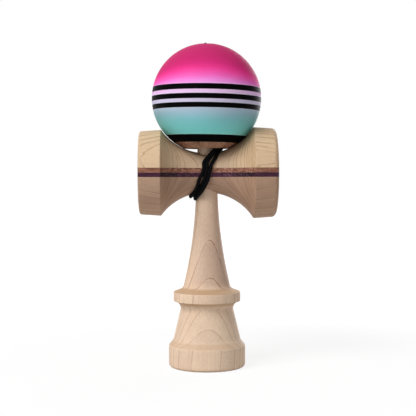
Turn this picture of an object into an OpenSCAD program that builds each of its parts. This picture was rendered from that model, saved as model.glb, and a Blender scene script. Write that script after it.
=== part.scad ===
// Kendama: a turned wooden handle, a laminated crosspiece with two cups, and a bored ball on a string.
// Millimetres, +Z up, the origin at the middle of the base rim. The front is -Y, the big cup is on +X.

/* [Ball] */
// Diameter of the ball
ball_d = 62; // [60:0.1:64]
// Diameter of the flat round the mouth of the bore
mouth_d = 24.9; // [24.4:0.1:26]
// Diameter of the bore that takes the spike
bore_d = 22.5; // [20:0.1:23]
// Depth of the straight bore from the mouth
bore_depth = 37; // [36.5:0.1:39]
// Bevel round the mouth, across and up
mouth_bevel = 0.9; // [0.5:0.1:1.1]
// Height of the cone between the bore and the bead's pocket
bore_cone_h = 5; // [3:0.1:6]
// Diameter of the string hole at the top
top_hole_d = 3.4; // [3:0.1:3.6]
// Rounding of the string hole's upper edge
top_hole_round = 2; // [1.6:0.1:2]

/* [Bead and knots] */
// Diameter of the bead
bead_d = 8; // [7:0.1:8.4]
// Diameter of the hole through the bead
bead_hole_d = 2.1; // [1.9:0.1:3]
// Height of the bead's middle above the ball's middle
bead_rise = 16.7; // [16:0.1:17.5]
// Diameter of a stopper knot
knot_d = 3.8; // [3.4:0.1:4]
// Radius of each of the two turns in a knot
knot_turn_r = 0.85; // [0.75:0.05:0.9]

/* [Crosspiece] */
// Height of the crosspiece's axis above the floor
cross_z = 109.5; // [107:0.1:112]
// Radius of the waist between the cups
waist_r = 11.1; // [10.8:0.1:11.6]
// How much larger the saddle's radius is than the ball's
saddle_slack = 0.45; // [0.4:0.05:0.8]
// How far the saddle's middle lies towards the small cup
saddle_shift = 0.2; // [0:0.05:0.2]
// Distance from the handle's axis to the small cup's face
small_reach = 38.2; // [36:0.1:41]
// Distance from the handle's axis to the big cup's face
big_reach = 39.4; // [37:0.1:42]
// Diameter of the small cup's band beside the saddle
small_band_d = 48.4; // [47.4:0.1:49.4]
// Diameter of the small cup's band at its face
small_face_d = 47; // [46:0.1:47.4]
// Diameter of the big cup's band beside the saddle
big_band_d = 51.4; // [50.4:0.1:52]
// Diameter of the big cup's band at its face
big_face_d = 50.1; // [49:0.1:50.4]
// Rounding of the small cup's outer edge
small_edge_round = 1.7; // [1:0.1:2.5]
// Rounding of the big cup's outer edge
big_edge_round = 2.4; // [1:0.1:3]
// Width of the flat lip round a cup or the base
lip_w = 0.9; // [0.6:0.1:1.5]
// Radius of the hollows in the cups and the base
dish_r = 32.5; // [31.5:0.1:36]
// Thickness of the brown strip above the axis
brown_t = 2.65; // [2:0.05:3.2]
// Thickness of the purple strip below the axis
purple_t = 2.4; // [2:0.05:3.2]

/* [Handle] */
// Height of the handle to the tip of the spike
ken_h = 158; // [154:0.1:158.6]
// Diameter of the base
base_d = 43.2; // [42:0.1:46]
// Rounding of the base's lower edge
base_round = 2.5; // [1.5:0.1:3]
// Height of the base band
base_band_h = 12.4; // [11:0.1:13.5]
// Diameter of the stem where it meets the base band
stem_d = 38.2; // [37:0.1:40]
// Height where the stem meets the base band's slope
stem_z = 15.8; // [15:0.1:17]
// Diameter of the neck under the collar
neck_d = 30.5; // [29:0.1:32]
// Height of the neck's narrowest place
neck_z = 32.9; // [32:0.1:33.5]
// Radius of the hollow under the collar
neck_cove_r = 4.6; // [4:0.1:4.8]
// Diameter of the collar
collar_d = 37.8; // [37:0.1:39]
// Height of the collar's upper edge
collar_z = 42.5; // [41.5:0.1:43.2]
// Diameter of the body at its foot on the collar
body_foot_d = 26; // [25:0.1:27]
// Height of the body's foot
body_foot_z = 46; // [45.5:0.1:47]
// Radius of the body's long hollow curve
body_curve_r = 260; // [240:1:300]
// Diameter of the shank under the crosspiece
shank_d = 12.26; // [12:0.02:12.4]
// Height where the curve turns into the shank's straight taper
shank_z = 97; // [96:0.1:97.6]
// Diameter at the foot of the spike
spike_d = 10.4; // [10:0.1:10.8]
// Height of the foot of the spike
spike_z = 122; // [121.5:0.1:123]
// Diameter of the rounded tip of the spike
tip_d = 6.4; // [5.6:0.1:7]

/* [String] */
// Diameter of the string
string_d = 1.4; // [1.2:0.05:1.5]
// Distance between neighbouring turns round the waist
turn_pitch = 1.9; // [1.85:0.05:2]
// Gap between the string and the wood it lies on
string_gap = 0.3; // [0.25:0.05:0.4]
// Diameter of the string hole in the crosspiece
cross_hole_d = 3; // [2.6:0.1:3.4]
// Diameter of the string hole in the handle
ken_hole_d = 2.2; // [2:0.1:2.6]

/* [Clearances] */
// Radial gap of the handle in the crosspiece
shank_gap = 0.05; // [0.02:0.01:0.1]
// Gap between the bead and its pocket, and under the bead
bead_gap = 0.3; // [0.2:0.05:0.4]
// Radial gap round the knot in the handle
knot_gap = 0.3; // [0.2:0.05:0.4]
// How far the ball sits below the middle of the saddle's arc
seat_drop = 0.1; // [0:0.02:0.1]

/* [Hidden] */
$fn = 64;
past = 1;

maple = [0.85, 0.74, 0.6];
brown_wood = [0.55, 0.36, 0.27];
purple_wood = [0.3, 0.16, 0.27];
pink_paint = [0.88, 0.2, 0.5];
bead_wood = [0.78, 0.62, 0.44];
black_cord = [0.05, 0.05, 0.055];

mouth_flat = 0.3;
knot_step = 1.5;
collar_rise = 2.1;
foot_step = 1.4;
ken_knot_y = -1.2;

ball_r = ball_d / 2;
mouth_drop = sqrt(pow(ball_r, 2) - pow(mouth_d / 2, 2));
mouth_r = mouth_d / 2 - mouth_flat;
round_x = top_hole_d / 2 + top_hole_round;
round_z = sqrt(pow(ball_r - top_hole_round, 2) - pow(round_x, 2));
saddle_r = ball_r + saddle_slack;
saddle_z = waist_r + saddle_r;
ball_z = cross_z + saddle_z - seat_drop;
bead_r = bead_d / 2;
pocket_r = bead_r + bead_gap;
bead_z = ball_z + bead_rise;
knot_h = 2 * knot_turn_r + knot_step;
bead_knot_z = bead_z - bead_r - bead_gap;
string_r = string_d / 2;

// Middle of a circle of radius r through points a and b, on the right of the way from a to b
function arc_middle(a, b, r) =
    let (half = (b - a) / 2, out = [half.y, -half.x] / norm(half))
    (a + b) / 2 + out * sqrt(r * r - half * half);

// Radius of the handle's straight taper at height z
function shank_r(z) = shank_d / 2 + (spike_d - shank_d) / 2 * (z - shank_z) / (spike_z - shank_z);

// Handle: half of its turned outline, as [radius, height]
module ken_outline() {
    base_r = base_d / 2;
    base_open_r = base_r - base_round - lip_w;
    tip_r = tip_d / 2;
    collar_slope_r = body_foot_d / 2 + foot_step;
    body_middle = arc_middle([body_foot_d / 2, body_foot_z], [shank_d / 2, shank_z], body_curve_r);
    difference() {
        union() {
            square([base_r - base_round, base_band_h]);
            translate([base_r - base_round, base_round]) circle(r = base_round);
            polygon([
                [0, base_round], [base_r, base_round], [base_r, base_band_h], [stem_d / 2, stem_z],
                [neck_d / 2, neck_z], [collar_d / 2, neck_z], [collar_d / 2, collar_z],
                [collar_slope_r, collar_z + collar_rise], [body_foot_d / 2, body_foot_z], [0, body_foot_z]
            ]);
            difference() {
                translate([0, body_foot_z]) square([body_foot_d / 2, shank_z - body_foot_z]);
                translate(body_middle) circle(r = body_curve_r, $fn = 360);
            }
            polygon([
                [0, shank_z], [shank_d / 2, shank_z], [spike_d / 2, spike_z],
                [tip_r, ken_h - tip_r], [0, ken_h - tip_r]
            ]);
            intersection() {
                translate([0, ken_h - tip_r]) circle(r = tip_r);
                square([tip_r, ken_h]);
            }
        }
        translate([neck_d / 2 + neck_cove_r, neck_z]) circle(r = neck_cove_r);
        translate([0, -sqrt(pow(dish_r, 2) - pow(base_open_r, 2))]) circle(r = dish_r, $fn = 180);
    }
}

// Handle, bored across at the crosspiece for the string and its knot
module ken() {
    color(maple) difference() {
        rotate_extrude($fn = 96) ken_outline();
        translate([0, ken_knot_y, cross_z]) rotate([-90, 0, 0]) cylinder(d = ken_hole_d, h = shank_d);
        translate([0, ken_knot_y + knot_gap, cross_z])
            rotate([90, 0, 0]) cylinder(d = knot_d + 2 * knot_gap, h = shank_d);
    }
}

// One cup's half outline, as [radius, distance from the saddle's middle], before the saddle is cut
module cup_outline(reach, band_d, face_d, edge_round) {
    face_r = face_d / 2;
    band_start = sqrt(pow(saddle_r, 2) - pow(saddle_z - band_d / 2, 2));
    taper = (band_d - face_d) / 2 / (reach - edge_round - band_start);
    open_r = face_r - edge_round - lip_w;
    difference() {
        union() {
            square([face_r - edge_round, reach]);
            polygon([
                [0, 0], [face_r + taper * (reach - edge_round), 0],
                [face_r, reach - edge_round], [0, reach - edge_round]
            ]);
            translate([face_r - edge_round, reach - edge_round]) circle(r = edge_round);
        }
        translate([0, reach + sqrt(pow(dish_r, 2) - pow(open_r, 2))]) circle(r = dish_r, $fn = 180);
    }
}

// Whole crosspiece, turned about X, bored for the handle and for the string at the back
module crosspiece() {
    sink = 1;
    translate([0, 0, cross_z]) difference() {
        translate([-saddle_shift, 0, 0]) rotate([0, 90, 0]) rotate_extrude($fn = 96) difference() {
            union() {
                cup_outline(big_reach + saddle_shift, big_band_d, big_face_d, big_edge_round);
                mirror([0, 1]) cup_outline(
                    small_reach - saddle_shift, small_band_d, small_face_d, small_edge_round
                );
            }
            translate([saddle_z, 0]) circle(r = saddle_r, $fn = 180);
        }
        translate([0, 0, -2 * waist_r]) cylinder(
            r1 = shank_r(cross_z - 2 * waist_r) + shank_gap,
            r2 = shank_r(cross_z + 2 * waist_r) + shank_gap,
            h = 4 * waist_r
        );
        rotate([-90, 0, 0]) cylinder(d = cross_hole_d, h = 2 * waist_r);
        translate([0, waist_r - sink, 0]) rotate([-90, 0, 0])
            cylinder(d1 = cross_hole_d, d2 = cross_hole_d + 2 * (sink + past), h = sink + past);
    }
}

// Layer of the crosspiece between two heights above its axis
module layer(low, high) {
    side = 2 * max(small_reach, big_reach) + 2 * past;
    intersection() {
        crosspiece();
        translate([-side / 2, -side / 2, cross_z + low]) cube([side, side, high - low]);
    }
}

module sarado_upper_block() { color(maple) layer(brown_t, big_band_d); }
module sarado_brown_strip() { color(brown_wood) layer(0, brown_t); }
module sarado_purple_strip() { color(purple_wood) layer(-purple_t, 0); }
module sarado_lower_block() { color(maple) layer(-big_band_d, -purple_t); }

// Ball: half of its turned outline about its middle, with bore, bead's pocket and string hole
module tama_outline() {
    hole_r = top_hole_d / 2;
    bore_r = bore_d / 2;
    bore_top = bore_depth - mouth_drop;
    difference() {
        intersection() {
            circle(r = ball_r, $fn = 180);
            translate([0, -mouth_drop]) square([ball_r, mouth_drop + ball_r]);
        }
        translate([0, -mouth_drop - past]) square([bore_r, bore_depth + past]);
        polygon([
            [0, -mouth_drop - past], [mouth_r, -mouth_drop - past], [mouth_r, -mouth_drop],
            [mouth_r - mouth_bevel, -mouth_drop + mouth_bevel], [0, -mouth_drop + mouth_bevel]
        ]);
        polygon([[0, bore_top], [bore_r, bore_top], [pocket_r, bore_top + bore_cone_h], [0, bore_top + bore_cone_h]]);
        translate([0, bore_top]) square([pocket_r, bead_rise - bore_top]);
        intersection() {
            translate([0, bead_rise]) circle(r = pocket_r);
            translate([0, bead_rise - pocket_r]) square([pocket_r, 2 * pocket_r]);
        }
        translate([0, bead_rise]) square([hole_r, ball_r]);
        difference() {
            translate([0, round_z]) square([round_x * ball_r / (ball_r - top_hole_round), ball_r]);
            translate([round_x, round_z]) circle(r = top_hole_round);
        }
    }
}

module tama() {
    color(pink_paint) translate([0, 0, ball_z]) rotate_extrude($fn = 96) tama_outline();
}

// Bead that stops the string in the ball and lets the ball spin
module bead() {
    color(bead_wood) translate([0, 0, bead_z]) difference() {
        sphere(r = bead_r);
        cylinder(d = bead_hole_d, h = 2 * bead_d, center = true);
    }
}

// Stopper knot of two turns, hanging down from the plane z = 0
module stopper_knot() {
    lobe_x = knot_d / 2 - knot_turn_r;
    color(black_cord) rotate_extrude() union() {
        translate([0, -knot_h]) square([lobe_x, knot_h]);
        translate([lobe_x, -knot_turn_r]) circle(r = knot_turn_r);
        translate([lobe_x, knot_turn_r - knot_h]) circle(r = knot_turn_r);
    }
}

module bead_knot() { translate([0, 0, bead_knot_z]) stopper_knot(); }
module ken_knot() { translate([0, ken_knot_y, cross_z]) rotate([-90, 0, 0]) stopper_knot(); }

// Ease from 0 to 1
function ease(t) = let (c = min(1, max(0, t))) c * c * (3 - 2 * c);

// Winding: the string goes round the waist from the top right of the front to its bottom left.
// Turn angle a is 0 at the front, 90 on top, 180 at the back and falls along the string.
loops = 3;
rings_a_loop = 24;
wrap_start = 145;
wrap_end = 90 - 360 * loops + 120;
spike_pass = 0.3;
shank_pass = 0.17;
string_lift = string_r + string_gap;
top_x = spike_d / 2 + 2 * string_lift + spike_pass;
bottom_x = -(shank_d / 2 + 2 * string_lift + shank_pass);
back_x = -4.6;
top_lag = 1.4;
top_roll = 88;
bottom_roll = 80;
bulge = 0.6;

// Lane of a turn: 1, 0 and -1 on the three front passes, changing only across the back
function lane(a) = let (u = 0.25 - a / 360, k = floor(u)) 1 - k - ease((u - k - 0.6) / 0.28);

function swing() = (top_x - bottom_x) / 2;
function lean() = (top_x + bottom_x) / 2;
function front_fold(a) = cos(a) > 0 ? sin(2 * a) : 0;

// Place of the middle lane along X at turn angle a, and how fast it changes
function lane_x(a) =
    swing() * sin(a) + lean() * pow(sin(a), 2) + back_x * pow(max(0, -cos(a)), 2)
    - top_lag * pow(max(0, front_fold(a)), 2);
function lane_slope(a) =
    swing() * cos(a) + 2 * lean() * sin(a) * cos(a) + 2 * back_x * max(0, -cos(a)) * sin(a);

// Middle of the string at turn angle a: lanes side by side, stacked at the spike and at the shank
function wrap_point(a) = let (
    n = lane(a),
    wide = sqrt(1 + pow(lane_slope(a) / (waist_r + string_lift), 2)),
    roll_up = top_roll * ease((sin(a) - 0.35) / 0.6),
    roll_down = bottom_roll * ease((-sin(a) - 0.3) / 0.65),
    swell = 1 + bulge * pow(max(0, n > 0 ? -front_fold(a) : front_fold(a)), 2),
    across = n * turn_pitch * wide * swell * cos(roll_up) * (n > 0 ? cos(roll_down) : 1),
    out = string_lift + turn_pitch * (max(0, 1 - n) * sin(roll_up) + max(0, n) * sin(roll_down)),
    x = lane_x(a) + across,
    tilt = asin((x + saddle_shift) / saddle_r),
    r = saddle_z - saddle_r * cos(tilt) + out * cos(tilt)
) [x - out * sin(tilt), -r * cos(a), cross_z + r * sin(a)];

function unit(v) = v / norm(v);
wrap_step = 360 / rings_a_loop;
wrap_turns = [for (a = [wrap_start : -wrap_step : wrap_end]) wrap_point(a)];
start_way = unit(wrap_turns[1] - wrap_turns[0]);
end_way = unit(wrap_turns[len(wrap_turns) - 1] - wrap_turns[len(wrap_turns) - 2]);
wrap_in = wrap_turns[0] - string_d * start_way;
wrap_out = wrap_turns[len(wrap_turns) - 1] + string_d * end_way;
wrap_route = concat([wrap_in], wrap_turns, [wrap_out]);

// From the knot in the handle straight back through the crosspiece, then up to the winding
tail_route = concat(
    [for (y = [ken_knot_y, 2.5, 6, 9.4]) [0, y, cross_z]],
    [[0.1, 11, 110], [0.4, 12.2, 111], [1, 12.7, 112.4], [1.8, 12.4, 114.2]],
    [wrap_in - string_d * start_way, wrap_in]
);

// From the winding up to the ball, over its back to the top hole, and down through the bead
leave = [-5.7, 15.1, 110];
meet_angle = -26;
top_angle = 84;
drift = -0.6;
function over_ball(t) = [
    drift * (2 - t / top_angle), (ball_r + string_lift) * cos(t), ball_z + (ball_r + string_lift) * sin(t)
];
function into_hole(t) = [
    drift * (180 - t) / (180 - top_angle),
    round_x + (top_hole_round + string_lift) * cos(t),
    ball_z + round_z + (top_hole_round + string_lift) * sin(t)
];
run_route = concat(
    [wrap_out, wrap_out + string_d * end_way],
    [for (k = [0 : 8]) leave + (over_ball(meet_angle) - leave) * k / 9],
    [for (t = [meet_angle : 5.5 : top_angle]) over_ball(t)],
    [for (t = [105 : 25 : 180]) into_hole(t)],
    [[0, round_x - top_hole_round - string_lift, ball_z + round_z - top_hole_round]],
    [for (z = [bead_z + bead_r - 0.4, bead_z, bead_knot_z]) [0, 0, z]]
);

// Tube along a route: a ring of points square to the way at each point, joined by triangles
function ways(p) = [for (i = [0 : len(p) - 1]) unit(p[min(i + 1, len(p) - 1)] - p[max(i - 1, 0)])];
function square_to(v, way) = unit(v - (v * way) * way);
function sides_along(w, i, v) =
    i == len(w) ? [] : let (s = square_to(v, w[i])) concat([s], sides_along(w, i + 1, s));

module tube(route, corners) {
    way = ways(route);
    side = sides_along(way, 0, [0.3, 0.9, 0.2]);
    last = (len(route) - 1) * corners;
    points = [
        for (i = [0 : len(route) - 1], k = [0 : corners - 1])
            let (t = 360 * k / corners)
            route[i] + string_r * (cos(t) * side[i] + sin(t) * cross(way[i], side[i]))
    ];
    faces = concat(
        [for (k = [1 : corners - 2]) [0, k, k + 1]],
        [for (k = [1 : corners - 2]) [last, last + k + 1, last + k]],
        [
            for (i = [0 : corners : last - corners], k = [0 : corners - 1], half = [0, 1])
                let (n = (k + 1) % corners)
                half == 0 ? [i + k, i + corners + k, i + n] : [i + n, i + corners + k, i + corners + n]
        ]
    );
    color(black_cord) polyhedron(points, faces);
}

module string_run() { tube(run_route, 8); }
module string_wrap() { tube(wrap_route, 6); }
module string_tail() { tube(tail_route, 8); }

// Least gap of the winding to itself, measured between points of different turns
fine_step = wrap_step / 3;
fine_turns = [for (a = [wrap_start : -fine_step : wrap_end]) wrap_point(a)];
half_loop = 180 / fine_step;
least_gap = min([
    for (i = [0 : len(fine_turns) - 1 - half_loop], j = [i + half_loop : len(fine_turns) - 1])
        norm(fine_turns[i] - fine_turns[j])
]) - string_d;
echo(least_gap_of_the_winding_mm = least_gap);

ken();
sarado_upper_block();
sarado_brown_strip();
sarado_purple_strip();
sarado_lower_block();
tama();
bead();
bead_knot();
string_run();
string_wrap();
string_tail();
ken_knot();
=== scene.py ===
import math
import bpy
from mathutils import Euler, Matrix, Vector


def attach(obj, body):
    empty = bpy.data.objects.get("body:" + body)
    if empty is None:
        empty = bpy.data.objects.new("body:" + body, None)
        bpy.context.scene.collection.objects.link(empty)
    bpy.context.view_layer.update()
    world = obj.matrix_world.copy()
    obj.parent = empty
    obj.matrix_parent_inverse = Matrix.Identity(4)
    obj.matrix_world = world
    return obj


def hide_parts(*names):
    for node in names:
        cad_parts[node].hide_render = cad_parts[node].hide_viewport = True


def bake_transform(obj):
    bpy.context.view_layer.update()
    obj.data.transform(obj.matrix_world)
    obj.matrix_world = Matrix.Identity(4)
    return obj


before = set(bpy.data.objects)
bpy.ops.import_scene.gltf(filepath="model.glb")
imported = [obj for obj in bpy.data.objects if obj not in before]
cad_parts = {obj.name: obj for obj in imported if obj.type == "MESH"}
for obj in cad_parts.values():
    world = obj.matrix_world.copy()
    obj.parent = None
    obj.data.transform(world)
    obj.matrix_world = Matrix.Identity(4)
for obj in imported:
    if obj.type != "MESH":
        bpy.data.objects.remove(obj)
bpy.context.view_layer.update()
mm = 0.001
print("frame loaded:", len(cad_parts), "nodes")

# camera, floor and light

shot = {
    "distance": 565, "height": 105.4, "side": 0.7,  # mm from the handle's axis and the floor
    "turn": -1, "pitch": 1.6, "roll": -0.12,  # degrees
    "lens": 86.54, "sensor": 36, "nearest": 0.01,
}
floorLook = {
    "size": 8, "paleness": 0.75, "glow": 1.12, "nearShare": 0.75,  # glow and matte make white together
    "fadeStart": 0.1, "fadeEnd": 0.4,  # metres from the object where the matte floor gives way to white
}
lamps = {  # place and size in metres, power in watts
    "keyLamp": {"place": (-1.14, -1.14, 1.6), "size": 1.2, "power": 36.4},
    "fillLamp": {"place": (0.8, -1.3, 1.4), "size": 1.0, "power": 1},
    "backLamp": {"place": (0.8, 1.4, 0.45), "size": 1.0, "power": 10},
}
lampAim = (0, 0, 0.1)
roomLight = 0.24


def deselect():
    if bpy.context.object and bpy.context.object.mode != "OBJECT":
        bpy.ops.object.mode_set(mode="OBJECT")
    bpy.ops.object.select_all(action="DESELECT")


def choose(piece):
    deselect()
    piece.select_set(True)
    bpy.context.view_layer.objects.active = piece


def setCamera():
    deselect()
    turned = Matrix.Rotation(math.radians(shot["turn"]), 3, "Z")
    place = turned @ Vector((shot["side"], -shot["distance"], shot["height"]))
    turned = turned @ Matrix.Rotation(math.radians(90 - shot["pitch"]), 3, "X")
    turned = turned @ Matrix.Rotation(math.radians(shot["roll"]), 3, "Z")
    bpy.ops.object.camera_add(location=place * mm, rotation=turned.to_euler())
    camera = bpy.context.object
    camera.name = "photoCamera"
    camera.data.lens = shot["lens"]
    camera.data.sensor_width = shot["sensor"]
    camera.data.clip_start = shot["nearest"]
    bpy.context.scene.camera = camera
    bpy.context.scene.view_settings.view_transform = "Standard"


def setLamps():
    for name, lamp in lamps.items():
        deselect()
        bpy.ops.object.light_add(type="AREA", location=lamp["place"])
        light = bpy.context.object
        light.name = name
        light.data.size = lamp["size"]
        light.data.energy = lamp["power"]
        aim = Vector(lampAim) - Vector(lamp["place"])
        light.rotation_euler = aim.to_track_quat("-Z", "Y").to_euler()


# shader sums in Python: a Wire is one socket, a Finish is one material


class Wire:
    def __init__(self, finish, socket):
        self.finish, self.socket = finish, socket

    def sum(self, operation, *others, clamp=False):
        sockets = dict(enumerate((self, *others)))
        return self.finish.node("Math", {"operation": operation, "use_clamp": clamp}, sockets)

    def __add__(self, other): return self.sum("ADD", other)
    __radd__ = __add__
    def __sub__(self, other): return self.sum("SUBTRACT", other)
    def __rsub__(self, other): return (self * -1).sum("ADD", other)
    def __mul__(self, other): return self.sum("MULTIPLY", other)
    __rmul__ = __mul__
    def __truediv__(self, other): return self.sum("DIVIDE", other)
    def __pow__(self, other): return self.sum("POWER", other)
    def __abs__(self): return self.sum("ABSOLUTE")


class Finish:
    def __init__(self, name, tree=None):
        self.material = None
        if tree is None:
            self.material = bpy.data.materials.new(name)
            self.material.use_nodes = True
            tree = self.material.node_tree
        self.tree = tree
        tree.nodes.clear()

    def node(self, kind, settings=None, sockets=None, out=0):
        made = self.tree.nodes.new("ShaderNode" + kind)
        for key, value in (settings or {}).items():
            if key == "stops":
                self.fillRamp(made.color_ramp, value)
            elif key == "flat":
                made.color_ramp.interpolation = "CONSTANT"
            else:
                setattr(made, key, value)
        for key, value in (sockets or {}).items():
            if isinstance(value, Wire):
                self.tree.links.new(value.socket, made.inputs[key])
            else:
                made.inputs[key].default_value = value
        return Wire(self, made.outputs[out]) if made.outputs else None

    def fillRamp(self, ramp, stops):
        while len(ramp.elements) < len(stops):
            ramp.elements.new(0.5)
        for element, (place, colour) in zip(ramp.elements, stops):
            element.position = place
            element.color = (*colour, 1)

    def spot(self, output="Object"):
        return self.node("TexCoord", None, None, output)

    def split(self, vector):
        made = self.node("SeparateXYZ", None, {0: vector}).socket.node
        return [Wire(self, socket) for socket in made.outputs]

    def join(self, x, y, z):
        return self.node("CombineXYZ", None, {0: x, 1: y, 2: z})

    def mix(self, share, first, second):
        first, second = [(*c, 1) if isinstance(c, tuple) else c for c in (first, second)]
        return self.node("Mix", {"data_type": "RGBA", "clamp_factor": True}, {0: share, 6: first, 7: second}, 2)

    def step(self, value, low, high, start=0.0, end=1.0):
        settings = {"interpolation_type": "SMOOTHSTEP"}
        return self.node("MapRange", settings, {0: value, 1: low, 2: high, 3: start, 4: end})

    def noise(self, vector, scale, detail, rough):
        return self.node("TexNoise", None, {"Vector": vector, "Scale": scale, "Detail": detail, "Roughness": rough})

    def bump(self, height, strength, distance):
        return self.node("Bump", None, {"Height": height, "Strength": strength, "Distance": distance})

    def surface(self, sockets):
        self.output(self.node("BsdfPrincipled", None, sockets))
        return self.material

    def output(self, shader, kind="OutputMaterial"):
        self.node(kind, None, {0: shader})


def srgb(*channels):  # screen colour, 0 to 255, as the linear colour that Blender takes
    shares = [c / 255 for c in channels]
    return tuple(c / 12.92 if c <= 0.04045 else ((c + 0.055) / 1.055) ** 2.4 for c in shares)


def seesBackground(finish):
    rays = [finish.node("LightPath", None, None, f"Is {kind} Ray") for kind in ("Camera", "Glossy", "Transmission")]
    return (rays[0] + rays[1]).sum("ADD", rays[2], clamp=True)


def setFloor():
    deselect()
    bpy.ops.mesh.primitive_plane_add(size=floorLook["size"], location=(0, 0, 0))
    floor = bpy.context.object
    floor.name = "paleFloor"
    finish = Finish("floorFinish")
    pale = floorLook["paleness"]
    matte = finish.node("BsdfDiffuse", None, {"Color": (pale, pale, pale, 1)})
    glow = finish.node("Emission", None, {"Color": (1, 1, 1, 1), "Strength": floorLook["glow"]})
    x, y, z = finish.split(finish.spot())
    away = (x * x + y * y) ** 0.5
    share = finish.step(away, floorLook["fadeStart"], floorLook["fadeEnd"], floorLook["nearShare"], 1)
    share = share * seesBackground(finish)
    finish.output(finish.node("MixShader", None, {0: share, 1: matte, 2: glow}))
    floor.data.materials.append(finish.material)
    world = bpy.context.scene.world or bpy.data.worlds.new("paleRoom")
    bpy.context.scene.world = world
    world.use_nodes = True
    sky = Finish("paleRoom", world.node_tree)
    strength = roomLight + seesBackground(sky) * (1 - roomLight)
    sky.output(sky.node("Background", None, {"Color": (1, 1, 1, 1), "Strength": strength}), "OutputWorld")


setCamera()
setLamps()
setFloor()
print("camera, lamps and floor set")

# string: from its knot in the handle, three times round the waist, over the ball and into its top

string = {
    "diameter": 2.05, "solidDiameter": 1.4, "gap": 0.3, "pitch": 1.9,
    "loops": 3, "start": 145, "end": 210, "step": 7.5,  # degrees round the waist
    "ring": 0.3, "sides": 20, "braidLay": 9, "carriers": 4, "braidDepth": 0.14, "crown": 0.6, "dip": 0.45,
    "dark": (3, 3, 4), "pale": (15, 15, 17), "fibre": (6000, 3, 0.6), "worn": (500, 2, 0.5),
    "rough": 0.7, "bump": (0.5, 0.00006), "gloss": 0.06,
}
waist = {"z": 109.5, "radius": 11.1, "saddleRadius": 31.45, "saddleCentre": 42.55, "shift": 0.2}
ballSeat = {
    "z": 151.3, "radius": 30.8, "topHole": 1.7, "topRound": 3.6, "beadZ": 168.65, "beadRadius": 4, "beadGap": 0.3,
    "stringSunk": 0.2, "aside": 0.6,  # mm
    "meet": -26, "crest": 84, "step": 5.5,  # degrees up the ball's back
}
knotSize = {
    "inHandle": -1.2, "turn": 1.05, "cord": 1.5, "turns": 2.3, "drop": 1.0525, "rise": 1.1475, "tuck": 0.75,
    "tuckAt": (0.4, 0.1), "points": 42, "ring": 0.25, "sides": 16, "braidDepth": 0.09,
}
winding = {
    "top": 7.3, "bottom": -7.5, "back": -4.6, "lag": 1.4, "topRoll": 88, "bottomRoll": 80, "nest": 0.6, "nestRise": 0.8,
    "laneChange": (0.6, 0.28), "rollUp": (0.35, 0.6), "rollDown": (0.3, 0.65),  # start and length
    # mm to the right, angle and reach in degrees
    "sways": ((-1.4, 22, 40), (1.3, -47, 42), (0.5, 84, 34), (0.5, -19, 24)),
    "upperSlit": (-0.9, 29, 19), "lowerSlit": (-0.9, -19, 22),
}
stringLift = string["solidDiameter"] / 2 + string["gap"]
stringEnd = ballSeat["beadZ"] - ballSeat["beadRadius"] - ballSeat["beadGap"]
swing = (winding["top"] - winding["bottom"]) / 2
lean = (winding["top"] + winding["bottom"]) / 2


def ease(t, start=0, length=1):
    t = min(1.0, max(0.0, (t - start) / length))
    return t * t * (3 - 2 * t)


def sine(degrees):
    return math.sin(math.radians(degrees))


def cosine(degrees):
    return math.cos(math.radians(degrees))


def frontFold(a):
    return sine(2 * a) if cosine(a) > 0 else 0


def sway(a, amount, middle, reach):
    away = abs((a - middle + 180) % 360 - 180) / reach
    return amount * cosine(90 * away) ** 2 if away < 1 else 0


def bundleMiddle(a):  # sideways place of the middle turn; a is 0 at the front, 90 on top
    behind = max(0, -cosine(a))
    middle = swing * sine(a) + lean * sine(a) ** 2 + winding["back"] * behind ** 2
    middle -= winding["lag"] * max(0, frontFold(a)) ** 2
    return middle + sum(sway(a, *each) for each in winding["sways"])


def windingPoint(a):  # a falls along the string
    turned = 0.25 - a / 360
    whole = math.floor(turned)
    lane = 1 - whole - ease(turned - whole, *winding["laneChange"])
    slope = (bundleMiddle(a + 1) - bundleMiddle(a - 1)) / math.radians(2)
    wide = math.sqrt(1 + (slope / (waist["radius"] + stringLift)) ** 2)
    rollUp = winding["topRoll"] * ease(sine(a), *winding["rollUp"])
    rollDown = winding["bottomRoll"] * ease(-sine(a), *winding["rollDown"])
    across = lane * string["pitch"] * wide * cosine(rollUp) * (cosine(rollDown) if lane > 0 else 1)
    across += sway(a, *winding["upperSlit"]) * ease(1 - lane) + sway(a, *winding["lowerSlit"]) * ease(-lane)
    across -= winding["nest"] * cosine(180 * lane) * sine(rollUp)
    stacked = winding["nestRise"] * max(0, 1 - lane) * sine(rollUp) + max(0, lane) * sine(rollDown)
    out = stringLift + string["pitch"] * stacked
    x = bundleMiddle(a) + across
    tilt = math.asin((x + waist["shift"]) / waist["saddleRadius"])
    r = waist["saddleCentre"] + (out - waist["saddleRadius"]) * math.cos(tilt)
    return Vector((x - out * math.sin(tilt), -r * cosine(a), waist["z"] + r * sine(a)))


def overBall(t):
    s = ballSeat
    r = s["radius"] + string["diameter"] / 2 - s["stringSunk"]
    return Vector((-s["aside"] * (2 - t / s["crest"]), r * cosine(t), s["z"] + r * sine(t)))


def intoHole(t):
    s = ballSeat
    edge = s["topHole"] + s["topRound"]
    edgeZ = math.sqrt((s["radius"] - s["topRound"]) ** 2 - edge ** 2)
    r = s["topRound"] + string["diameter"] / 2 - s["stringSunk"]
    x = -s["aside"] * (180 - t) / (180 - s["crest"])
    return Vector((x, edge + r * cosine(t), s["z"] + edgeZ + r * sine(t)))


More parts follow.
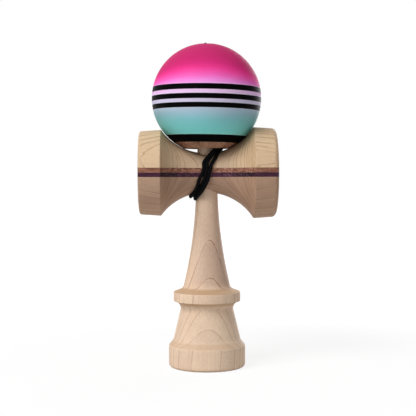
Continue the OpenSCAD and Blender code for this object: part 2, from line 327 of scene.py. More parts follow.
def stringRoute():
    tail = [Vector((0, y, waist["z"])) for y in (knotSize["inHandle"], 2.5, 6, 9.4)]
    tail += [Vector(p) for p in ((0.1, 11, 110), (0.4, 12.2, 111), (1, 12.7, 112.4), (1.8, 12.4, 114.2))]
    start, step = string["start"], string["step"]
    turned = start - string["end"] + 360 * string["loops"]
    turns = [windingPoint(start - step * k) for k in range(int(turned / step) + 1)]
    leave, meet = Vector((-5.7, 15.1, 110)), overBall(ballSeat["meet"])
    rise = [leave.lerp(meet, k / 9) for k in range(9)]
    over = [overBall(ballSeat["meet"] + ballSeat["step"] * k) for k in range(19)]
    hole = [intoHole(t) for t in (82, 98, 115, 132, 148, 164, 180)]
    hole.append(Vector((0, 0.5, hole[-1].z - 1.5)))
    beadTop = ballSeat["beadZ"] + ballSeat["beadRadius"]
    ends = [Vector((0, 0, h)) for h in (beadTop - 0.4, ballSeat["beadZ"], stringEnd)]
    return tail + turns + rise + over + hole + ends


def between(p, q, start, end, t):  # the point at t on a line that has p at start and q at end
    return p * ((end - t) / (end - start)) + q * ((t - start) / (end - start))


def smoothRoute(points, spacing):  # a soft curve through the points, cut into even steps
    fine, pieces = [], 12
    padded = [2 * points[0] - points[1], *points, 2 * points[-1] - points[-2]]
    for a, b, c, d in zip(padded, padded[1:], padded[2:], padded[3:]):
        k0 = 0.0
        k1 = k0 + math.sqrt((b - a).length)
        k2 = k1 + math.sqrt((c - b).length)
        k3 = k2 + math.sqrt((d - c).length)
        for k in range(pieces):
            t = k1 + (k2 - k1) * k / pieces
            ab, bc, cd = between(a, b, k0, k1, t), between(b, c, k1, k2, t), between(c, d, k2, k3, t)
            fine.append(between(between(ab, bc, k0, k2, t), between(bc, cd, k1, k3, t), k1, k2, t))
    fine.append(points[-1])
    total = sum((q - p).length for p, q in zip(fine, fine[1:]))
    count = max(2, round(total / spacing))
    even, walked, index = [fine[0]], 0.0, 0
    for k in range(1, count):
        target = total * k / count
        while walked + (fine[index + 1] - fine[index]).length < target:
            walked += (fine[index + 1] - fine[index]).length
            index += 1
        share = (target - walked) / (fine[index + 1] - fine[index]).length
        even.append(fine[index].lerp(fine[index + 1], share))
    return even + [fine[-1]], total


def braidHeight(around, along):  # 0 in the grooves, 1 on the crown of a strand
    right = around * string["carriers"] + along * string["carriers"] / string["braidLay"]
    left = around * string["carriers"] - along * string["carriers"] / string["braidLay"]
    over = (math.floor(right) + math.floor(left)) % 2 == 0
    across, lengthwise = (right, left) if over else (left, right)
    crown = math.sin(math.pi * (across % 1.0)) ** string["crown"]
    return crown * (1 - string["dip"] + string["dip"] * math.sin(math.pi * (lengthwise % 1.0)))


def smooth(piece, angle=None):  # edges sharper than the angle, in degrees, stay sharp
    choose(piece)
    if angle is None:
        bpy.ops.object.shade_smooth()
    else:
        bpy.ops.object.shade_smooth_by_angle(angle=math.radians(angle))


def cordMesh(name, points, diameter, sides, depth):
    vertices, faces = [], []
    ways = [(points[min(i + 1, len(points) - 1)] - points[max(i - 1, 0)]).normalized() for i in range(len(points))]
    side = ways[0].orthogonal().normalized()
    walked = 0.0
    for i, (point, way) in enumerate(zip(points, ways)):
        walked += (point - points[i - 1]).length if i else 0
        side = (side - way * side.dot(way)).normalized()
        other = way.cross(side)
        for k in range(sides):
            around = k / sides
            angle = 2 * math.pi * around
            r = diameter / 2 - depth * (1 - braidHeight(around, walked))
            vertices.append((point + r * (side * math.cos(angle) + other * math.sin(angle))) * mm)
    for i in range(len(points) - 1):
        for k in range(sides):
            n = (k + 1) % sides
            faces.append((i * sides + k, i * sides + n, (i + 1) * sides + n, (i + 1) * sides + k))
    last = (len(points) - 1) * sides
    faces.append(tuple(range(sides))[::-1])
    faces.append(tuple(last + k for k in range(sides)))
    mesh = bpy.data.meshes.new(name)
    mesh.from_pydata(vertices, [], faces)
    piece = bpy.data.objects.new(name, mesh)
    bpy.context.scene.collection.objects.link(piece)
    smooth(piece)
    return piece


def knotMesh(name, top, way):  # two turns laid tight round the string's end
    way = Vector(way)
    side = way.orthogonal().normalized()
    other = way.cross(side)
    points = []
    for k in range(knotSize["points"] + 1):
        t = k / knotSize["points"]
        angle = 2 * math.pi * knotSize["turns"] * t
        r = knotSize["turn"] * (1 - knotSize["tuck"] * ease(abs(t - 0.5), *knotSize["tuckAt"]))
        depth = knotSize["drop"] + knotSize["rise"] * t
        points.append(Vector(top) + way * depth + r * (side * math.cos(angle) + other * math.sin(angle)))
    path = smoothRoute(points, knotSize["ring"])[0]
    return cordMesh(name, path, knotSize["cord"], knotSize["sides"], knotSize["braidDepth"])


def cordFinish():
    finish = Finish("blackBraid")
    spot = finish.spot()
    fibre, worn = finish.noise(spot, *string["fibre"]), finish.noise(spot, *string["worn"])
    return finish.surface({
        "Base Color": finish.mix(fibre * 0.6 + worn * 0.4, srgb(*string["dark"]), srgb(*string["pale"])),
        "Roughness": string["rough"] + fibre * 0.2, "Normal": finish.bump(fibre, *string["bump"]),
        "Specular IOR Level": string["gloss"],
    })


blackBraid = cordFinish()
route, stringLength = smoothRoute(stringRoute(), string["ring"])
stringPiece = cordMesh("blackString", route, string["diameter"], string["sides"], string["braidDepth"])
stringPiece.data.materials.append(blackBraid)
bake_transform(stringPiece)
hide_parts("string_run", "string_wrap", "string_tail")

handleKnot = knotMesh("handleKnot", (0, knotSize["inHandle"], waist["z"]), (0, -1, 0))
beadKnot = knotMesh("beadKnot", (0, 0, stringEnd), (0, 0, -1))
for knot, body, node in ((handleKnot, "root", "ken_knot"), (beadKnot, "bead", "bead_knot")):
    knot.data.materials.append(blackBraid)
    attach(knot, body)
    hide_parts(node)
[p * mm for p in route]
print("string laid, length in mm:", round(stringLength, 1))

# turned pieces: a single point is drawn along the outline, then spun

softSteps = 6  # to a rounded corner
sharpAngle = 32
boreSides = 72


def arc(centre, radius, first, last, count):  # points on a circle, in degrees
    angles = [first + (last - first) * k / count for k in range(count + 1)]
    return [(centre[0] + radius * cosine(t), centre[1] + radius * sine(t)) for t in angles]


def soften(outline, cuts):  # rounds the corners named in cuts: {corner: length cut off each side}
    soft = []
    for i, corner in enumerate(outline):
        cut = cuts.get(i)
        if not cut:
            soft.append(corner)
            continue
        p, a, b = Vector(corner), Vector(outline[i - 1]), Vector(outline[i + 1])
        start, end = p + (a - p).normalized() * cut, p + (b - p).normalized() * cut
        for k in range(softSteps + 1):
            t = k / softSteps
            point = start.lerp(p, t).lerp(p.lerp(end, t), t)
            soft.append((point.x, point.y))
    return soft


def turn(name, outline, axis, steps):  # outline is (radius, distance along the axis) in mm
    if axis == "Z":
        points = [Vector((r, 0, h)) * mm for r, h in outline]
        middle, way = (0, 0, 0), (0, 0, 1)
    else:
        points = [Vector((h, 0, r + waist["z"])) * mm for r, h in outline]
        middle, way = (0, 0, waist["z"] * mm), (1, 0, 0)
    deselect()
    bpy.ops.mesh.primitive_plane_add(size=mm, location=(0, 0, 0))
    piece = bpy.context.object
    piece.name = name
    piece.data.name = name
    bpy.ops.object.mode_set(mode="EDIT")
    bpy.ops.mesh.select_all(action="SELECT")
    bpy.ops.mesh.merge(type="CENTER")
    bpy.ops.transform.translate(value=points[0])
    for here, there in zip(points, points[1:]):
        bpy.ops.mesh.extrude_vertices_move(TRANSFORM_OT_translate={"value": there - here})
    bpy.ops.mesh.select_all(action="SELECT")
    bpy.ops.mesh.spin(steps=steps, angle=2 * math.pi, center=middle, axis=way)
    bpy.ops.mesh.select_all(action="SELECT")
    bpy.ops.mesh.remove_doubles(threshold=0.000002)
    bpy.ops.mesh.normals_make_consistent(inside=False)
    bpy.ops.object.mode_set(mode="OBJECT")
    return piece


def bore(piece, radiusA, radiusB, start, end):  # drills a round or tapered hole between two points, in mm
    start, end = Vector(start) * mm, Vector(end) * mm
    way = end - start
    deselect()
    bpy.ops.mesh.primitive_cone_add(
        vertices=boreSides, radius1=radiusA * mm, radius2=radiusB * mm, depth=way.length,
        location=(start + end) / 2, rotation=way.to_track_quat("Z", "Y").to_euler(),
    )
    drill = bpy.context.object
    choose(piece)
    cut = piece.modifiers.new("drill", "BOOLEAN")
    cut.operation, cut.solver, cut.object = "DIFFERENCE", "EXACT", drill
    bpy.ops.object.modifier_apply(modifier=cut.name)
    bpy.data.objects.remove(drill)


handle = {
    "height": 158, "baseRadius": 21.6, "baseRound": 2, "bandHeight": 12.1, "lip": 1.4, "dishRadius": 32.5,
    "stemRadius": 18.9, "stemZ": 15.6, "neckRadius": 14.85, "neckZ": 32.8, "coveRadius": 4.4,
    "collarRadius": 18.9, "collarZ": 42.4, "collarRise": 1.7, "footRadius": 13.2, "footZ": 45.6, "footStep": 1.1,
    "bodyCurve": 255, "shankRadius": 6.13, "shankZ": 97, "spikeRadius": 5.2, "spikeZ": 122, "tipRadius": 3.2,
    "bandSoft": 0.55, "slopeSoft": 1.3, "collarSoft": 0.6, "stepSoft": 0.9, "footSoft": 0.8,
    "stringHole": 1.1, "knotHole": 2.2, "holeReach": 12, "holeOverlap": 0.3, "sides": 160,
}


def handleOutline():
    h = handle
    mouth = h["baseRadius"] - h["baseRound"] - h["lip"]
    dishZ = -math.sqrt(h["dishRadius"] ** 2 - mouth ** 2)
    dish = arc((0, dishZ), h["dishRadius"], 90, math.degrees(math.asin(-dishZ / h["dishRadius"])), 16)
    base = arc((h["baseRadius"] - h["baseRound"], h["baseRound"]), h["baseRound"], -90, 0, 10)
    coveX = h["neckRadius"] + h["coveRadius"]
    coveEnd = math.degrees(math.acos((h["collarRadius"] - coveX) / h["coveRadius"]))
    cove = arc((coveX, h["neckZ"]), h["coveRadius"], 180, coveEnd, 14)
    a, b = Vector((h["footRadius"], h["footZ"])), Vector((h["shankRadius"], h["shankZ"]))
    half = (b - a) / 2
    out = Vector((half.y, -half.x)).normalized()
    middle = (a + b) / 2 + out * math.sqrt(h["bodyCurve"] ** 2 - half.length_squared)
    first, last = (math.degrees(math.atan2(p.y - middle.y, p.x - middle.x)) % 360 for p in (a, b))
    body = arc(middle, h["bodyCurve"], first, last, 30)
    tip = arc((0, h["height"] - h["tipRadius"]), h["tipRadius"], 0, 90, 12)
    corners = soften([
        base[-1], (h["baseRadius"], h["bandHeight"]), (h["stemRadius"], h["stemZ"]), (h["neckRadius"], h["neckZ"]),
    ], {1: h["bandSoft"], 2: h["slopeSoft"]})
    collar = soften([
        cove[-2], cove[-1], (h["collarRadius"], h["collarZ"]),
        (h["footRadius"] + h["footStep"], h["collarZ"] + h["collarRise"]), body[0], body[1],
    ], {1: h["collarSoft"] / 2, 2: h["collarSoft"], 3: h["stepSoft"], 4: h["footSoft"]})
    spike = [(h["spikeRadius"], h["spikeZ"])]
    return dish + base + corners[1:-1] + cove[:-2] + collar[:-1] + body[1:] + spike + tip


def drillHandle(piece):  # a narrow hole for the string at the back, a wide one for its knot at the front
    z, knotY, reach = waist["z"], knotSize["inHandle"], handle["holeReach"]
    narrow, wide = handle["stringHole"], handle["knotHole"]
    bore(piece, narrow, narrow, (0, knotY, z), (0, reach, z))
    bore(piece, wide, wide, (0, knotY + handle["holeOverlap"], z), (0, -reach, z))


handlePiece = turn("handle", handleOutline(), "Z", handle["sides"])
drillHandle(handlePiece)
smooth(handlePiece, sharpAngle)
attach(handlePiece, "root")
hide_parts("ken")
print("handle turned")

crosspiece = {
    "bigReach": 39.1, "bigBand": 25.7, "bigFace": 25.05, "bigRound": (2.8, 3.2), "bigOpen": 21.75,
    "smallReach": 37.9, "smallBand": 24.2, "smallFace": 23.5, "smallRound": (1.3, 1.7), "smallOpen": 20.9,
    "dishRadius": 32.5, "rimSoft": 0.3, "saddleSteps": 56,
    "boreGap": 0.05, "boreReach": 20, "stringHole": 1.5, "holeStart": 3, "sink": 1, "sides": 192,
}
layers = {  # heights above the crosspiece's axis, in mm
    "upperBlock": {"node": "sarado_upper_block", "slot": "maple", "low": 2.65, "high": None},
    "brownStrip": {"node": "sarado_brown_strip", "slot": "brown_wood", "low": 0, "high": 2.65},
    "purpleStrip": {"node": "sarado_purple_strip", "slot": "purple_wood", "low": -2.4, "high": 0},
    "lowerBlock": {"node": "sarado_lower_block", "slot": "maple", "low": None, "high": -2.4},
}


def cupOutline(size, shift):  # from the middle of the dish to the saddle, for a cup that opens towards +X
    reach, band, face, mouth = (crosspiece[size + key] for key in ("Reach", "Band", "Face", "Open"))
    along, across = crosspiece[size + "Round"]
    dishX = reach + math.sqrt(crosspiece["dishRadius"] ** 2 - mouth ** 2)
    ending = 180 - math.degrees(math.asin(mouth / crosspiece["dishRadius"]))
    dish = [(r, h) for h, r in arc((dishX, 0), crosspiece["dishRadius"], 180, ending, 18)]
    edge = [(face - across + across * cosine(t), reach - along + along * sine(t)) for t in range(90, -1, -9)]
    bandStart = math.sqrt(waist["saddleRadius"] ** 2 - (waist["saddleCentre"] - band) ** 2) - shift
    return dish + edge + [(band, bandStart)]


def crosspieceOutline():
    steps, soft, shift = crosspiece["saddleSteps"], crosspiece["rimSoft"], waist["shift"]
    big = cupOutline("big", shift)
    small = [(r, -h) for r, h in cupOutline("small", -shift)]
    first, last = (math.degrees(math.asin((cup[-1][1] + shift) / waist["saddleRadius"])) for cup in (big, small))
    saddle = [
        (waist["saddleCentre"] - waist["saddleRadius"] * cosine(t), waist["saddleRadius"] * sine(t) - shift)
        for t in [first + (last - first) * k / steps for k in range(steps + 1)]
    ]
    whole = big[:-1] + saddle + small[:-1][::-1]
    return soften(whole, {len(big) - 1: soft, len(big) - 1 + steps: soft})


def shankRadius(z):
    h = handle
    return h["shankRadius"] + (h["spikeRadius"] - h["shankRadius"]) * (z - h["shankZ"]) / (h["spikeZ"] - h["shankZ"])


def drillCrosspiece(piece):  # the handle's tapered bore, then the string's hole and its countersink
    c, z = crosspiece, waist["z"]
    low, high = z - c["boreReach"], z + c["boreReach"]
    bore(piece, shankRadius(low) + c["boreGap"], shankRadius(high) + c["boreGap"], (0, 0, low), (0, 0, high))
    bore(piece, c["stringHole"], c["stringHole"], (0, c["holeStart"], z), (0, c["boreReach"], z))
    bore(piece, c["stringHole"], c["stringHole"] + 2 * c["sink"],
         (0, waist["radius"] - c["sink"], z), (0, waist["radius"] + c["sink"], z))


def cutLayer(whole, name, low, high):
    choose(whole)
    bpy.ops.object.duplicate()
    layer = bpy.context.object
    layer.name = name
    layer.data.name = name
    bpy.ops.object.mode_set(mode="EDIT")
    for height, normal in ((low, -1), (high, 1)):
        if height is not None:
            bpy.ops.mesh.select_all(action="SELECT")
            bpy.ops.mesh.bisect(
                plane_co=(0, 0, (waist["z"] + height) * mm), plane_no=(0, 0, normal), use_fill=True, clear_outer=True,
                threshold=0.0000005,
            )
    bpy.ops.object.mode_set(mode="OBJECT")
    smooth(layer, sharpAngle)
    return layer


wholeCross = turn("wholeCross", crosspieceOutline(), "X", crosspiece["sides"])
drillCrosspiece(wholeCross)
layerPieces = {}
for name, layer in layers.items():
    piece = cutLayer(wholeCross, name, layer["low"], layer["high"])
    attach(piece, "root")
    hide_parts(layer["node"])
    layerPieces[name] = piece
bpy.data.objects.remove(wholeCross)
print("crosspiece turned and split into", len(layerPieces), "layers")

ball = {
    "mouth": 12.45, "mouthFlat": 0.3, "mouthSoft": 0.25, "bevel": 0.9, "bore": 11.25, "boreDepth": 37, "cone": 5,
    "pocket": 4.3, "sides": 192,
}


def ballOutline():
    b, radius, hole, holeRound = ball, ballSeat["radius"], ballSeat["topHole"], ballSeat["topRound"]
    beadRise = ballSeat["beadZ"] - ballSeat["z"]
    mouthZ = -math.sqrt(radius ** 2 - b["mouth"] ** 2)
    edge = hole + holeRound
    edgeZ = math.sqrt((radius - holeRound) ** 2 - edge ** 2)
    edgeAngle = math.degrees(math.atan2(edgeZ, edge))
    mouthAngle = math.degrees(math.atan2(mouthZ, b["mouth"]))
    boreTop = mouthZ + b["boreDepth"]
    holeAngle = math.degrees(math.acos(hole / b["pocket"]))
    rim = arc((edge, edgeZ), holeRound, 180, edgeAngle, 10)
    skin = arc((0, 0), radius, edgeAngle, mouthAngle, 110)
    inner = [
        (b["mouth"] - b["mouthFlat"], mouthZ), (b["mouth"] - b["mouthFlat"] - b["bevel"], mouthZ + b["bevel"]),
        (b["bore"], mouthZ + b["bevel"]), (b["bore"], boreTop), (b["pocket"], boreTop + b["cone"]),
        (b["pocket"], beadRise),
    ]
    pocket = arc((0, beadRise), b["pocket"], 0, holeAngle, 10)
    outline = soften(rim + skin[1:] + inner, {len(rim) + len(skin) - 2: b["mouthSoft"]}) + pocket[1:]
    outline.append(rim[0])
    return [(r, z + ballSeat["z"]) for r, z in outline]


ballPiece = turn("ball", ballOutline(), "Z", ball["sides"])
smooth(ballPiece, sharpAngle)
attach(ballPiece, "tama")
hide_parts("tama")
print("ball turned")

# finishes

grain = {  # rings are distances in mm from a plane through the axis towards the front
    "handle": {
        "turn": (0, 0, 0), "middle": (0, 0, 0), "depth": 40, "warp": 0.1, "line": 0.85, "width": 0.34, "seed": 3.1,
        "rings": (-23, -16.8, -12.6, -8.1, -4.4, -0.5, 3.2, 8.4, 12.1, 14.4, 17.2, 20.6, 24),
        "shades": (0.1, 0, 0.1, 0, 0.1, 0, 0, 0.14, 0, 0, 0.12, 0, 0),
        # bodyShade: painted shade on the body, darker towards +X and under the crosspiece
        "twist": (2.6, 15), "bodyShade": 0.5, "baseLine": 0.45,
        "pale": (248, 221, 193), "warm": (237, 207, 179), "dusk": (190, 156, 138), "dark": (158, 102, 72),
        "endGrain": (190, 152, 112), "endShare": 0.7,
    },
    "upperBlock": {
        "turn": (18, -90, 0), "middle": (0, 0, 109.5), "depth": 16, "warp": 0.06, "line": 0.62, "width": 0.32,
        "seed": 7.7,
        "rings": (
            -14, -11, -8, -5, -2, 1, 4, 7, 9.5, 11.5, 13.5, 14.7, 15.6, 17.2, 18.6, 19.9, 21, 22.1, 22.85, 23.5,
            24.3, 25.1, 25.4, 25.57, 25.9,
        ),
        # saddleGrainAndShade: end-grain darkening plus painted shade under the ball
        "shades": (0.06, 0, 0.1), "saddleGrainAndShade": (0.36, 0.04), "bandLine": 0.66, "bandSlope": (0.052, 24),
        "pale": (232, 202, 165), "warm": (221, 189, 152), "dusk": (176, 152, 132), "dark": (158, 108, 74),
        "endGrain": (190, 156, 118), "endShare": 0.3,
    },
    "lowerBlock": {
        "turn": (0, -90, 0), "middle": (0, 0, 109.5), "depth": 80, "warp": 0.1, "line": 0.62, "width": 0.3,
        "seed": 12.4,
        "rings": (-25.9, -20.5, -17, -13.5, -10, -6, -2, 2, 6, 9.5, 12.1, 13.4, 15.6, 18.1, 20.6, 22, 24.3, 25.9),
        "shades": (0.12, 0.3, 0), "saddleGrainAndShade": (0.45, 0.2), "bandLine": 0.6,
        "pale": (198, 164, 139), "warm": (186, 151, 126), "dusk": (160, 127, 106), "dark": (126, 88, 66),
        "endGrain": (158, 122, 92), "endShare": 0.3,
    },
    "bead": {
        "turn": (0, 0, 0), "middle": (0, 0, 168), "depth": 40, "warp": 0.1, "line": 0.5, "width": 0.2, "seed": 17.0,
        "rings": (-6, -3, -1, 1, 2.5, 6), "shades": (0, 0.3),
        "pale": (214, 176, 130), "warm": (190, 148, 104), "dusk": (170, 126, 84), "dark": (128, 86, 52),
        "endGrain": (170, 126, 84), "endShare": 0.4,
    },
}
ringSpan = 26  # mm either side of the plane that the rings reach
ringWarp = (4, 0.3)  # mm that the slow and the quick noise push a ring
lastRing = 4  # mm of wood past the last ring
widestRing = 10  # mm, because a ramp's colours end at 1
thinnest = 0.014  # keeps a line from vanishing where the surface faces the rings
lineCore = 0.25  # share of a line's width that is fully dark
fibres = {  # repeats a metre across and along the fibres, shift of the seed, the noise's detail and roughness
    "slow": (45, 14, 0, 2, 0.5), "quick": (420, 90, 0, 2, 0.5), "blotch": (60, 22, 4, 3, 0.55),
    "streak": (1500, 38, 9, 3, 0.6), "fleck": (3600, 420, 2, 1, 0.5), "patch": (240, 60, 6, 2, 0.5),
    "mottle": (1500, 900, 7, 2, 0.6),
}
maple = {
    # values between which a mark sets in
    "warm": (0.36, 0.66), "mottle": (0.42, 0.64), "fleck": (0.62, 0.76), "patch": (0.3, 0.6), "endGrain": (0.4, 0.82),
    "mottleShare": 0.16, "fleckShare": 0.1, "faintest": 0.35, "ringFade": 0.5,
    "rough": 0.5, "bump": (0.25, 0.00008), "gloss": 0.2,
}
zones = {  # mm between which one look gives way to another
    "base": (43, 46), "bands": (24, 26), "saddle": (22, 26), "bigSaddle": (10, 21),
    "bodyShadeFrom": (42, 50), "bodyShadeTo": (72, 112), "bodyShadeSide": (-13, 1), "stripEnds": (12, 20), "stripLength": (-20, 16),
}


def zone(finish, value, name, start=0.0, end=1.0):
    low, high = zones[name]
    return finish.step(value, low * mm, high * mm, start, end)


def grainSpot(finish, look):  # the place in the wood: Z along the fibres, Y away from the bark
    rotation = Euler([math.radians(a) for a in look["turn"]])
    shift = rotation.to_matrix() @ (Vector(look["middle"]) * -mm)
    sockets = {"Vector": finish.spot(), "Rotation": tuple(rotation), "Location": tuple(shift)}
    return finish.node("Mapping", None, sockets)


def fibreNoise(finish, spot, look, name):
    across, along, shift, detail, rough = fibres[name]
    x, y, z = finish.split(spot)
    return finish.noise(finish.join(x * across + (look["seed"] + shift), y * across, z * along), 1, detail, rough)


def lies(look):  # wood whose fibres run along X
    return look["turn"][1] != 0


def ringDistance(finish, spot, look):
    x, y, z = finish.split(spot)
    depth = look["depth"] * mm
    away = depth - y
    slow, quick = (fibreNoise(finish, spot, look, name) - 0.5 for name in ("slow", "quick"))
    distance = (x * x + away * away) ** 0.5 - depth
    distance = distance + slow * (look["warp"] * ringWarp[0] * mm) + quick * (ringWarp[1] * mm)
    if "twist" in look:
        amount, start = look["twist"]
        distance = distance + x * (z - start * mm) * amount
    if "bandSlope" in look:  # the fibres follow the taper of the big cup's band
        slope, start = look["bandSlope"]
        distance = distance + (z - start * mm).sum("MAXIMUM", 0) * slope
    return distance


def lineWidth(finish, spot, look):  # a line keeps its width where the surface runs nearly along a ring
    x, y, z = finish.split(spot)
    sideways = x * x / (x * x + y * y) + thinnest
    if lies(look):
        saddle = z * abs(z).sum("LESS_THAN", zones["saddle"][1] * mm) / (waist["saddleRadius"] * mm)
        sideways = sideways + saddle * saddle
    return sideways.sum("MINIMUM", 1) ** 0.5 * look["width"]


def ringLines(finish, spot, look):  # 1 on a ring's dark edge and 0 between the rings, then the wood's darkening: ring tones plus painted shade on the saddle and the body
    x, y, z = finish.split(spot)
    rings, count = look["rings"], len(look["rings"])
    places = [(r + ringSpan) / (2 * ringSpan) for r in rings]
    spans = [b - a for a, b in zip(rings, rings[1:])] + [lastRing]
    shades = [look["shades"][k % len(look["shades"])] for k in range(count)]
    place = ringDistance(finish, spot, look) / (2 * ringSpan * mm) + 0.5
    counted = finish.node("ValToRGB", {"stops": [(p, (k / count,) * 3) for k, p in enumerate(places)]}, {0: place})
    bands = [(p, (s / widestRing, shade, 0)) for p, s, shade in zip(places, spans, shades)]
    span, shade = finish.split(finish.node("ValToRGB", {"stops": bands, "flat": True}, {0: place}))[:2]
    saw = (counted * count).sum("FRACT")
    near = saw.sum("MINIMUM", 1 - saw) * span * widestRing
    width = lineWidth(finish, spot, look)
    edge = finish.step(near, width * lineCore, width, 1, 0)
    if "baseLine" in look:  # lines are fainter on the base and on the bands of the cups
        edge = edge * zone(finish, z, "base", look["baseLine"], 1)
    if "bandLine" in look:
        edge = edge * zone(finish, abs(z), "bands", 1, look["bandLine"])
    shade = shade * (1 - saw * maple["ringFade"])
    if "saddleGrainAndShade" in look:  # the saddle darker: partly fibres cut across, partly painted shade under the ball and on the flank away from the lamp
        small, big = look["saddleGrainAndShade"]  # at the small cup and at the big one
        shade = shade + zone(finish, abs(z), "saddle", 1, 0) * zone(finish, z, "bigSaddle", small, big)
    if "bodyShade" in look:  # painted shade: the body above the collar darker towards +X, away from the lamp, and under the crosspiece; partly a darker wood tone
        shadedBody = zone(finish, z, "bodyShadeFrom") * zone(finish, z, "bodyShadeTo", 1, 0)
        shade = shade + shadedBody * zone(finish, x, "bodyShadeSide") * look["bodyShade"]
    return edge, shade


def mapleFinish(name, look):
    finish = Finish(name)
    spot = grainSpot(finish, look)
    edge, shade = ringLines(finish, spot, look)
    kinds = ("blotch", "streak", "fleck", "patch", "mottle")
    blotch, streak, fleck, patch, mottle = (fibreNoise(finish, spot, look, kind) for kind in kinds)
    flecks = finish.step(fleck, *maple["fleck"])
    patchy = finish.step(patch, *maple["patch"], maple["faintest"], 1)
    pale, warm, dusk, dark, endGrain = (srgb(*look[key]) for key in ("pale", "warm", "dusk", "dark", "endGrain"))
    colour = finish.mix(finish.step(blotch * 0.6 + streak * 0.4, *maple["warm"]), pale, warm)
    colour = finish.mix(shade + finish.step(mottle, *maple["mottle"]) * maple["mottleShare"], colour, dusk)
    # fibres cut across take up more dirt and oil
    facing = finish.split(finish.spot("Normal"))[0 if lies(look) else 2]
    colour = finish.mix(finish.step(abs(facing), *maple["endGrain"]) * look["endShare"], colour, endGrain)
    colour = finish.mix(flecks * maple["fleckShare"], colour, dark)
    colour = finish.mix(edge * patchy * look["line"], colour, dark)
    height = streak * 0.6 - flecks * 0.5 - edge * 0.25
    return finish.surface({
        "Base Color": colour, "Roughness": maple["rough"] + streak * 0.16 + flecks * 0.08,
        "Normal": finish.bump(height, *maple["bump"]), "Specular IOR Level": maple["gloss"],
    })


stripWoods = {
    "brownStrip": {
        "pale": (168, 116, 95), "dark": (112, 70, 54), "pore": (70, 40, 30), "fleck": (204, 160, 140),
        "fleckShare": 0.85, "endDusk": 0, "seed": 21.0,
    },
    "purpleStrip": {
        "pale": (86, 44, 68), "dark": (52, 24, 40), "pore": (26, 12, 20), "fleck": (140, 108, 124),
        "fleckShare": 0.5, "endDusk": 0.8, "seed": 33.0,
    },
}
stripFibres = {  # repeats a metre along and across the fibres, the noise's detail and roughness
    "band": (70, 900, 3, 0.55), "pores": (380, 2600, 2, 0.5), "grit": (900, 1300, 2, 0.6),
}
stripLook = {
    "band": (0.32, 0.68), "pores": (0.5, 0.64), "grit": (0.53, 0.66),  # values between which a mark sets in
    "uncut": 0.35, "poreShare": (0.85, 0.4), "leastFlecks": 0.3, "rough": 0.48, "bump": (0.3, 0.00008), "gloss": 0.15,
}


def stripFinish(name, look):
    finish = Finish(name)
    x, y, z = finish.split(finish.spot())
    band, pores, grit = (
        finish.noise(finish.join(x * along + look["seed"], y * across, z * across), 1, detail, rough)
        for along, across, detail, rough in stripFibres.values()
    )
    pale, dark, pore, fleck = (srgb(*look[key]) for key in ("pale", "dark", "pore", "fleck"))
    # the saddle cuts across the fibres, so pores and flecks show there
    cut = zone(finish, abs(x), "bands", 1, stripLook["uncut"])
    poreShare = zone(finish, x, "stripLength", *stripLook["poreShare"])
    fleckShare = zone(finish, x, "stripLength", stripLook["leastFlecks"], look["fleckShare"])
    colour = finish.mix(finish.step(band, *stripLook["band"]), dark, pale)
    colour = finish.mix(zone(finish, abs(x), "stripEnds", 0, look["endDusk"]) * cut, colour, pore)
    colour = finish.mix(finish.step(pores, *stripLook["pores"]) * cut * poreShare, colour, pore)
    colour = finish.mix(finish.step(grit, *stripLook["grit"]) * cut * fleckShare, colour, fleck)
    return finish.surface({
        "Base Color": colour, "Roughness": stripLook["rough"] + pores * 0.2,
        "Normal": finish.bump(band - pores * 0.7, *stripLook["bump"]), "Specular IOR Level": stripLook["gloss"],
    })


paint = {
    "roll": 0.85, "edge": 0.22, "bareBelow": -54.3, "bareEdge": 0.2,  # degrees
    "stripes": ((11, 5.2), (1.1, -4.2), (-7.8, -13.05), (-42.9, -54.3)), "black": (7, 7, 8),
    "ridgeAndGlint": (0.1, 0.75), "glintShare": 0.22,
    "skin": (29.5, 29.9),  # mm from the ball's middle
    # bow: painted light and shade, the fade lying lower towards the sides
    "bow": 0.75, "lowBow": 0.15, "bowChange": (-6, 6), "speck": 4, "cloud": 3,
    # painted shade: below the stripes the paint turns greyer and darker towards the sides and back
    "sideShade": (94, 110, 106), "sideShadeGain": 0.55, "sideShadeMost": 0.35, "sideShadeEnd": (-20, -8),
    "lowest": -60, "span": 150,  # latitudes that the ramp of colours covers
    "colours": (  # latitude and colour
        (-60, (100, 160, 148)), (-44, (140, 234, 226)), (-34, (137, 226, 224)), (-26, (144, 216, 221)),
        (-20, (166, 210, 224)), (-14, (190, 208, 228)), (-6.5, (216, 208, 236)), (2.5, (242, 208, 246)),
        (10, (254, 180, 246)), (13, (254, 160, 238)), (16, (254, 138, 224)), (20, (254, 106, 196)),
        (25, (254, 80, 170)), (30, (242, 60, 144)), (36, (222, 51, 127)), (44, (210, 50, 116)), (90, (202, 54, 112)),
    ),
    "speckNoise": (5200, 1, 0.5), "cloudNoise": (90, 2, 0.5),
    "woodPale": (186, 144, 118), "woodDark": (112, 76, 58), "woodSeed": 5.0, "woodChange": (0.34, 0.68),
    "rough": 0.56, "bump": (0.35, 0.00009), "gloss": 0.012,
}


def sprayAndShadeColour(finish, latitude, front, speck, cloud):
    # painted light and shade: the fade lies lower towards ±X, so the paint reads lighter facing ±Y and darker at the
    # sides
    bow = finish.step(latitude, *paint["bowChange"], paint["lowBow"], paint["bow"])
    sprayAndShadeLatitude = latitude * (1 + (1 - front) * bow) + speck * paint["speck"] + cloud * paint["cloud"]
    lowest, span = paint["lowest"], paint["span"]
    stops = [((angle - lowest) / span, srgb(*colour)) for angle, colour in paint["colours"]]
    colour = finish.node("ValToRGB", {"stops": stops}, {0: (sprayAndShadeLatitude - lowest) / span})
    # painted shade: grey, darker colour mixed in below the stripes, growing away from the front
    sideShade = ((1 - front) * paint["sideShadeGain"]).sum("MINIMUM", paint["sideShadeMost"])
    return finish.mix(sideShade * finish.step(latitude, *paint["sideShadeEnd"], 1, 0), colour, srgb(*paint["sideShade"]))


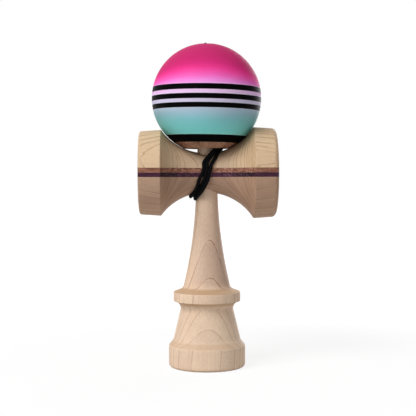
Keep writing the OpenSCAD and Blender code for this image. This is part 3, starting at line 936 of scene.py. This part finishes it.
def stripeMasks(finish, latitude):  # the black stripes, and the ridge of paint at their edges, whose colour also carries a painted highlight
    black, ridgeAndGlint, soft = 0, 0, paint["edge"]
    for top, bottom in paint["stripes"]:
        inside = finish.step(latitude, bottom - soft, bottom + soft)
        black = black + inside * finish.step(latitude, top - soft, top + soft, 1, 0)
        for border in (top, bottom):
            ridgeAndGlint = ridgeAndGlint + finish.step(abs(latitude - border), *paint["ridgeAndGlint"], 1, 0)
    return black, ridgeAndGlint


def paintFinish():
    finish = Finish("sprayedBall")
    spot = finish.spot()
    x, y, z = finish.split(spot)
    z = z - ballSeat["z"] * mm
    skinStart, skinEnd = paint["skin"]
    outside = finish.step((x * x + y * y + z * z) ** 0.5, skinStart * mm, skinEnd * mm)
    speck, cloud = (finish.noise(spot, *paint[kind]) - 0.5 for kind in ("speckNoise", "cloudNoise"))
    level = (z + x * math.tan(math.radians(paint["roll"]))) / (ballSeat["radius"] * mm)
    latitude = level.sum("MINIMUM", 1).sum("MAXIMUM", -1).sum("ARCSINE") * (180 / math.pi)
    front = abs(y / (x * x + y * y) ** 0.5)  # 1 facing ±Y, 0 facing ±X
    colour = sprayAndShadeColour(finish, latitude, front, speck, cloud)
    black, ridgeAndGlint = stripeMasks(finish, latitude)
    # painted highlight: a thin whitish line along each stripe's edges
    colour = finish.mix(ridgeAndGlint * paint["glintShare"], colour, (1, 1, 1))
    colour = finish.mix(black, colour, srgb(*paint["black"]))
    seed = paint["woodSeed"]
    line = finish.noise(finish.join(x * 1100 + y * 500 + seed, y * 900, z * 160), 1, 3, 0.6)
    band = finish.noise(finish.join(x * 160 + y * 90 + seed, y * 120, z * 60), 1, 2, 0.5)
    woodDark, woodPale = srgb(*paint["woodDark"]), srgb(*paint["woodPale"])
    wood = finish.mix(finish.step(line * 0.55 + band * 0.45, *paint["woodChange"]), woodDark, woodPale)
    bare, soft = paint["bareBelow"], paint["bareEdge"]
    painted = outside * finish.step(latitude, bare - soft, bare + soft)
    height = painted * 0.7 + black * 0.5 + ridgeAndGlint * 0.25 + (1 - painted) * line * 0.5 + speck * 0.06
    return finish.surface({
        "Base Color": finish.mix(painted, wood, colour),
        "Roughness": paint["rough"] - painted * 0.14 + speck * 0.05 - black * 0.04,
        "Normal": finish.bump(height, *paint["bump"]), "Specular IOR Level": paint["gloss"],
    })


def setFinish(piece, material):
    piece.data.materials.clear()
    piece.data.materials.append(material)


setFinish(handlePiece, mapleFinish("handleMaple", grain["handle"]))
setFinish(layerPieces["upperBlock"], mapleFinish("upperMaple", grain["upperBlock"]))
setFinish(layerPieces["lowerBlock"], mapleFinish("lowerMaple", grain["lowerBlock"]))
for name, look in stripWoods.items():
    setFinish(layerPieces[name], stripFinish(name + "Wood", look))
setFinish(ballPiece, paintFinish())
setFinish(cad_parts["bead"], mapleFinish("beadWood", grain["bead"]))
print("finishes set")
